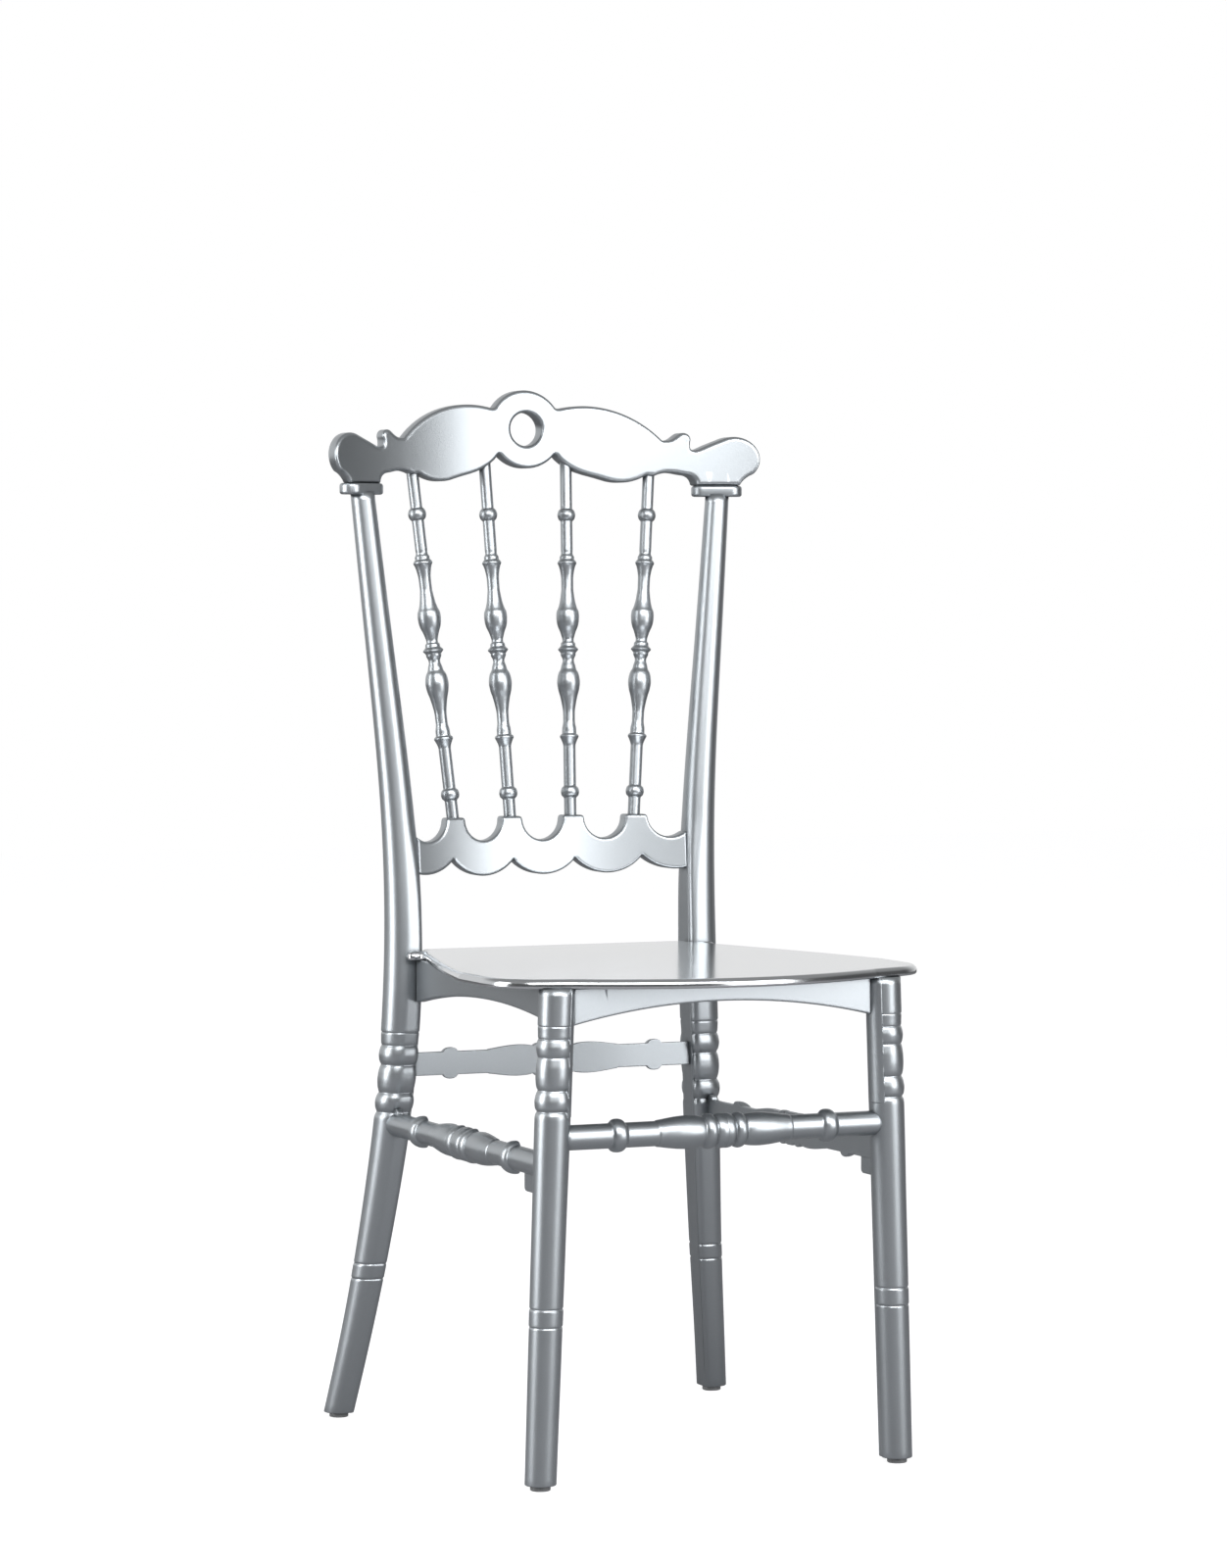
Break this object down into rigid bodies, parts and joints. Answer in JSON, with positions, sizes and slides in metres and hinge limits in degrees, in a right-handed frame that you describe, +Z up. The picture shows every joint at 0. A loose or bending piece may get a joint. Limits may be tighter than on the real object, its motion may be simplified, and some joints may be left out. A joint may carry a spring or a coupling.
{
  "type": "spindle-back banquet chair",
  "caption": "Armless banquet chair with a bowed flat seat, turned legs and stretchers, a spindle back and a scrolled crest rail with a round hole.",
  "frame": {"origin": "middle of the chair's bounding box on the floor", "axes": "+Z up, the chair faces -Y, +X to the right of someone looking at its front"},
  "size_m": [0.412, 0.4874, 0.918],
  "materials": {
    "silver_coat": "satin",
    "seat_coat": "gloss",
    "plain_resin": "matte",
    "glide_resin": "matte",
    "zinc_steel": "satin"
  },
  "bodies": {
    "root": {"seat_panel": "seat_coat", "front_apron": "silver_coat", "rear_apron": "silver_coat", "side_apron_left": "silver_coat", "side_apron_right": "silver_coat", "corner_block_front_left": "plain_resin", "corner_block_front_right": "plain_resin", "corner_block_rear_left": "plain_resin", "corner_block_rear_right": "plain_resin", "front_leg_left": "silver_coat", "front_leg_right": "silver_coat", "back_post_left": "silver_coat", "back_post_right": "silver_coat", "collar_left": "silver_coat", "collar_right": "silver_coat", "crest_rail": "silver_coat", "back_rail": "silver_coat", "spindle_outer_left": "silver_coat", "spindle_inner_left": "silver_coat", "spindle_inner_right": "silver_coat", "spindle_outer_right": "silver_coat", "front_stretcher": "silver_coat", "side_stretcher_left": "silver_coat", "side_stretcher_right": "silver_coat", "rear_stretcher": "silver_coat", "glide_front_left": "glide_resin", "glide_front_right": "glide_resin", "glide_rear_left": "glide_resin", "glide_rear_right": "glide_resin", "seat_screws": "zinc_steel", "leg_bolts": "zinc_steel"}
  },
  "joints": []
}
